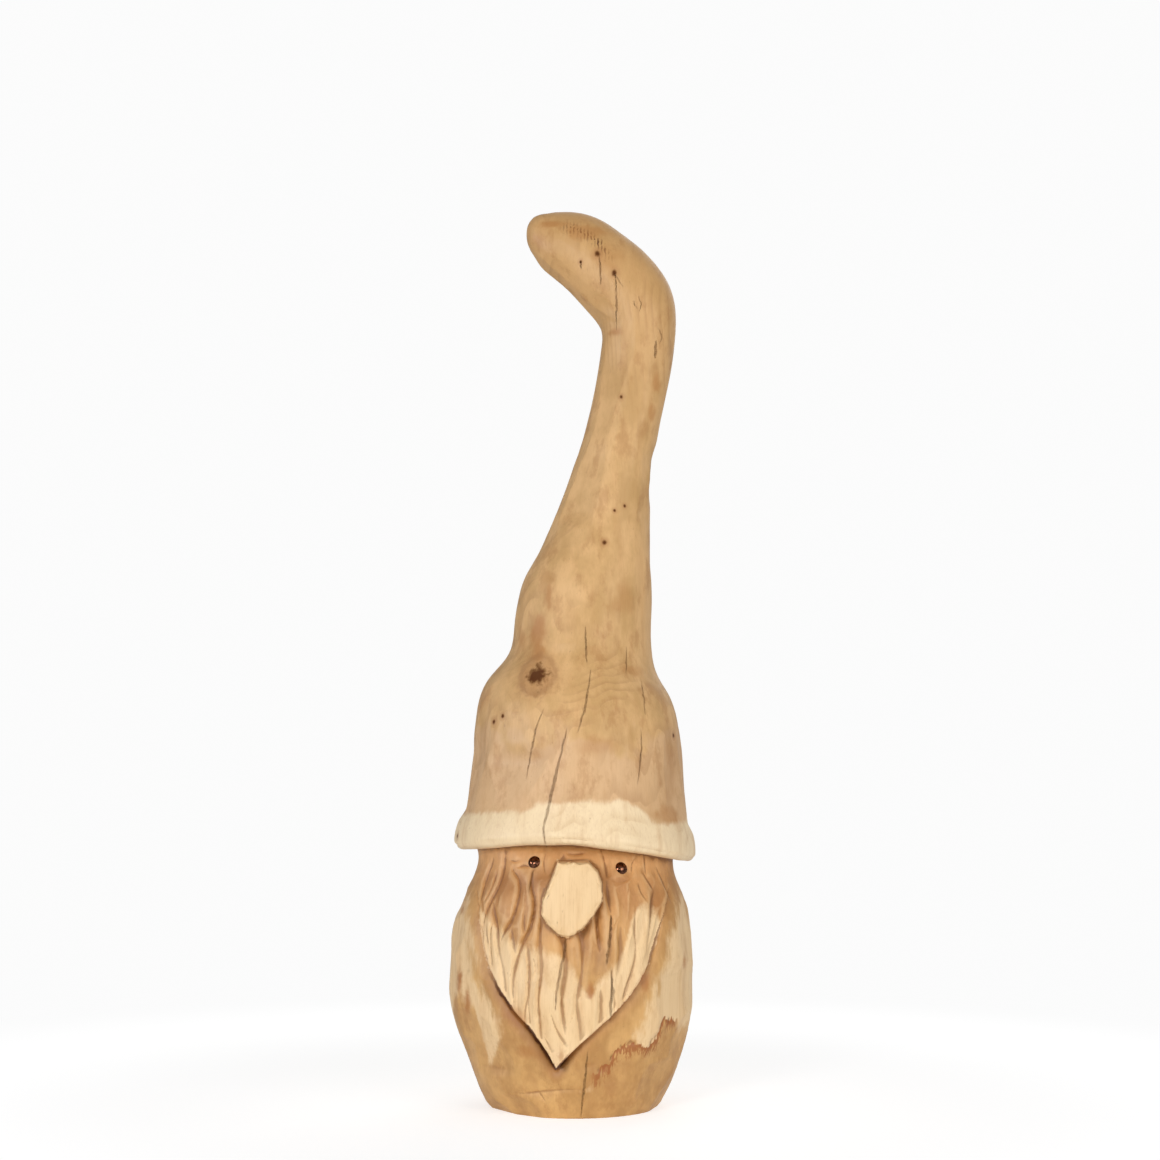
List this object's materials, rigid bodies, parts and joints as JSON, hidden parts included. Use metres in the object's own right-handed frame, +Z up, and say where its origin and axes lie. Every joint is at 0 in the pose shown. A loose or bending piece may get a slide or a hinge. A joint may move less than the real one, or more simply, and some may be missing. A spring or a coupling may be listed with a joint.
{
  "type": "carved wooden gnome figurine",
  "caption": "Free-standing gnome carved from one log, with a tall bent hat, flat nose, grooved pointed beard and capped tacks for eyes.",
  "frame": {"origin": "centre of the flat underside the figure stands on", "axes": "+Z up along the log, the face looks along -Y, +X to the right of someone facing the figure"},
  "size_m": [0.2216, 0.2185, 0.803],
  "materials": {
    "wood": "oiled, knife-cut softwood with pale sapwood",
    "eye_cap": "dark antique bronze plating, polished",
    "tack_steel": "plain drawn steel"
  },
  "bodies": {
    "root": {"carved_figure": "wood", "left_eye_cap": "eye_cap", "left_eye_shank": "tack_steel", "right_eye_cap": "eye_cap", "right_eye_shank": "tack_steel"}
  },
  "joints": []
}
